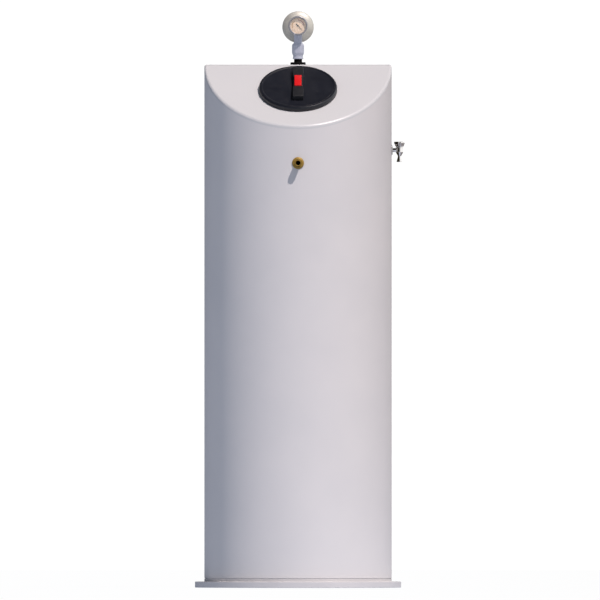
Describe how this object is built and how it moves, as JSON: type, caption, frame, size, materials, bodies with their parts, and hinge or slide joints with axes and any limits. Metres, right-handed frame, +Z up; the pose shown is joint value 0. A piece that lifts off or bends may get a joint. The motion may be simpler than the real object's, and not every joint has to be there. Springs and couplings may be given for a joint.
{
  "type": "tank water heater",
  "caption": "Upright cylindrical tank water heater with a sloped top, electric heater cap with rocker switch, dial gauge, relief valve and outlet stub.",
  "frame": {"origin": "centre of the base disc underside, on the floor", "axes": "+Z up along the tank axis, -Y to the front (the low side of the sloped roof and the hot outlet), +X to the right as seen from the front (relief valve side)"},
  "size_m": [0.6722, 0.662, 1.8475],
  "materials": {
    "base_moulding": "warm white moulding, fine satin grain",
    "jacket_paint": "white powder coat with a faint orange peel",
    "roof_paint": "white powder coat, rounded edge",
    "foam": "pale yellow rigid polyurethane foam",
    "vessel_steel": "dull blue-grey enamelled steel",
    "zinc_fastener": "zinc plated",
    "gasket_rubber": "red fibre-rubber gasket",
    "plate_steel": "turned steel plate",
    "element_sheath": "drawn nickel-alloy sheath",
    "anode_metal": "dull cast magnesium",
    "pocket_copper": "drawn copper tube",
    "terminal_ceramic": "ivory moulding",
    "knob_plastic": "dark grey moulding",
    "cap_plastic": "blue-black moulding with fine grain",
    "seal_rubber": "black rubber",
    "spine_plastic": "neutral black moulding",
    "housing_plastic": "black nylon",
    "rocker_red": "translucent red, lit",
    "gland_plastic": "black nylon",
    "port_brass": "machined brass",
    "riser_steel": "drawn steel pipe",
    "grommet_rubber": "black rubber",
    "union_grey": "blue-grey plated metal",
    "case_steel": "dark satin steel",
    "tube_bronze": "bronze tube",
    "dial_face": "printed dial card, cream with coloured arcs",
    "needle_black": "black needle",
    "dial_glass": "clear lens",
    "dome_steel": "polished steel dome",
    "relief_chrome": "bright chrome plate",
    "spring_steel": "spring wire"
  },
  "bodies": {
    "tank": {"base_plate": "base_moulding", "outer_jacket": "jacket_paint", "roof_cover": "roof_paint", "side_insulation": "foam", "top_insulation": "foam", "vessel_shell": "vessel_steel", "vessel_top_head": "vessel_steel", "vessel_bottom_head": "vessel_steel", "standing_ring": "vessel_steel", "base_screws": "zinc_fastener", "heater_neck": "vessel_steel", "flange_ring": "vessel_steel", "flange_gasket": "gasket_rubber", "heater_plate": "plate_steel", "flange_bolts": "zinc_fastener", "flange_nuts": "zinc_fastener", "heating_elements": "element_sheath", "anode_rod": "anode_metal", "thermostat_pocket": "pocket_copper", "thermostat": "terminal_ceramic", "terminal_block": "terminal_ceramic", "cap_posts": "zinc_fastener", "cap_screws": "zinc_fastener", "heater_cap": "cap_plastic", "cap_seal": "seal_rubber", "switch_spine": "spine_plastic", "switch_housing": "housing_plastic", "gland_body": "gland_plastic", "gland_nut": "gland_plastic", "inlet_socket": "vessel_steel", "inlet_stub": "port_brass", "inlet_rosette": "port_brass", "inlet_diffuser": "pocket_copper", "outlet_socket": "vessel_steel", "outlet_stub": "port_brass", "outlet_rosette": "port_brass", "riser_pipe": "riser_steel", "riser_grommet": "grommet_rubber", "union_tail": "union_grey", "union_nut": "union_grey", "gauge_manifold": "union_grey", "gauge_socket": "port_brass", "gauge_case": "case_steel", "bourdon_tube": "tube_bronze", "gauge_dial": "dial_face", "gauge_glass": "dial_glass", "gauge_bezel": "case_steel", "dome_front_shell": "dome_steel", "dome_rear_shell": "dome_steel", "dome_diaphragm": "seal_rubber", "relief_pipe": "relief_chrome", "relief_rosette": "relief_chrome", "relief_body": "relief_chrome", "relief_bonnet": "relief_chrome", "relief_spring": "spring_steel"},
    "rocker": {"rocker_button": "rocker_red"},
    "relief_handle": {"relief_knob": "relief_chrome"},
    "relief_plunger": {"relief_stem": "port_brass"},
    "needle": {"gauge_needle": "needle_black"},
    "thermostat_dial": {"thermostat_knob": "knob_plastic"}
  },
  "joints": [
    {"name": "rocker_tilt", "type": "hinge", "parent": "tank", "child": "rocker", "pos_m": [0, -0.1448, 1.61837], "axis": [1, 0, 0], "range_deg": [-12, 0]},
    {"name": "relief_turn", "type": "hinge", "parent": "tank", "child": "relief_handle", "pos_m": [0.325, 0, 1.40106], "axis": [0, 0, 1], "range_deg": [0, 90]},
    {"name": "relief_lift", "type": "slide", "parent": "tank", "child": "relief_plunger", "axis": [0, 0, 1], "range_m": [0, 0.002], "deforming": ["relief_spring"]},
    {"name": "needle_sweep", "type": "hinge", "parent": "tank", "child": "needle", "pos_m": [0, 0.02475, 1.8], "axis": [0, 1, 0], "range_deg": [-270, 0]},
    {"name": "thermostat_set", "type": "hinge", "parent": "tank", "child": "thermostat_dial", "pos_m": [0.042, -0.12925, 1.58945], "axis": [0, -0.5519, 0.8339], "range_deg": [-135, 135]}
  ],
  "couplings": [
    {"joint": "relief_lift", "follows": "relief_turn", "m_per_rad": 0.0012732}
  ]
}
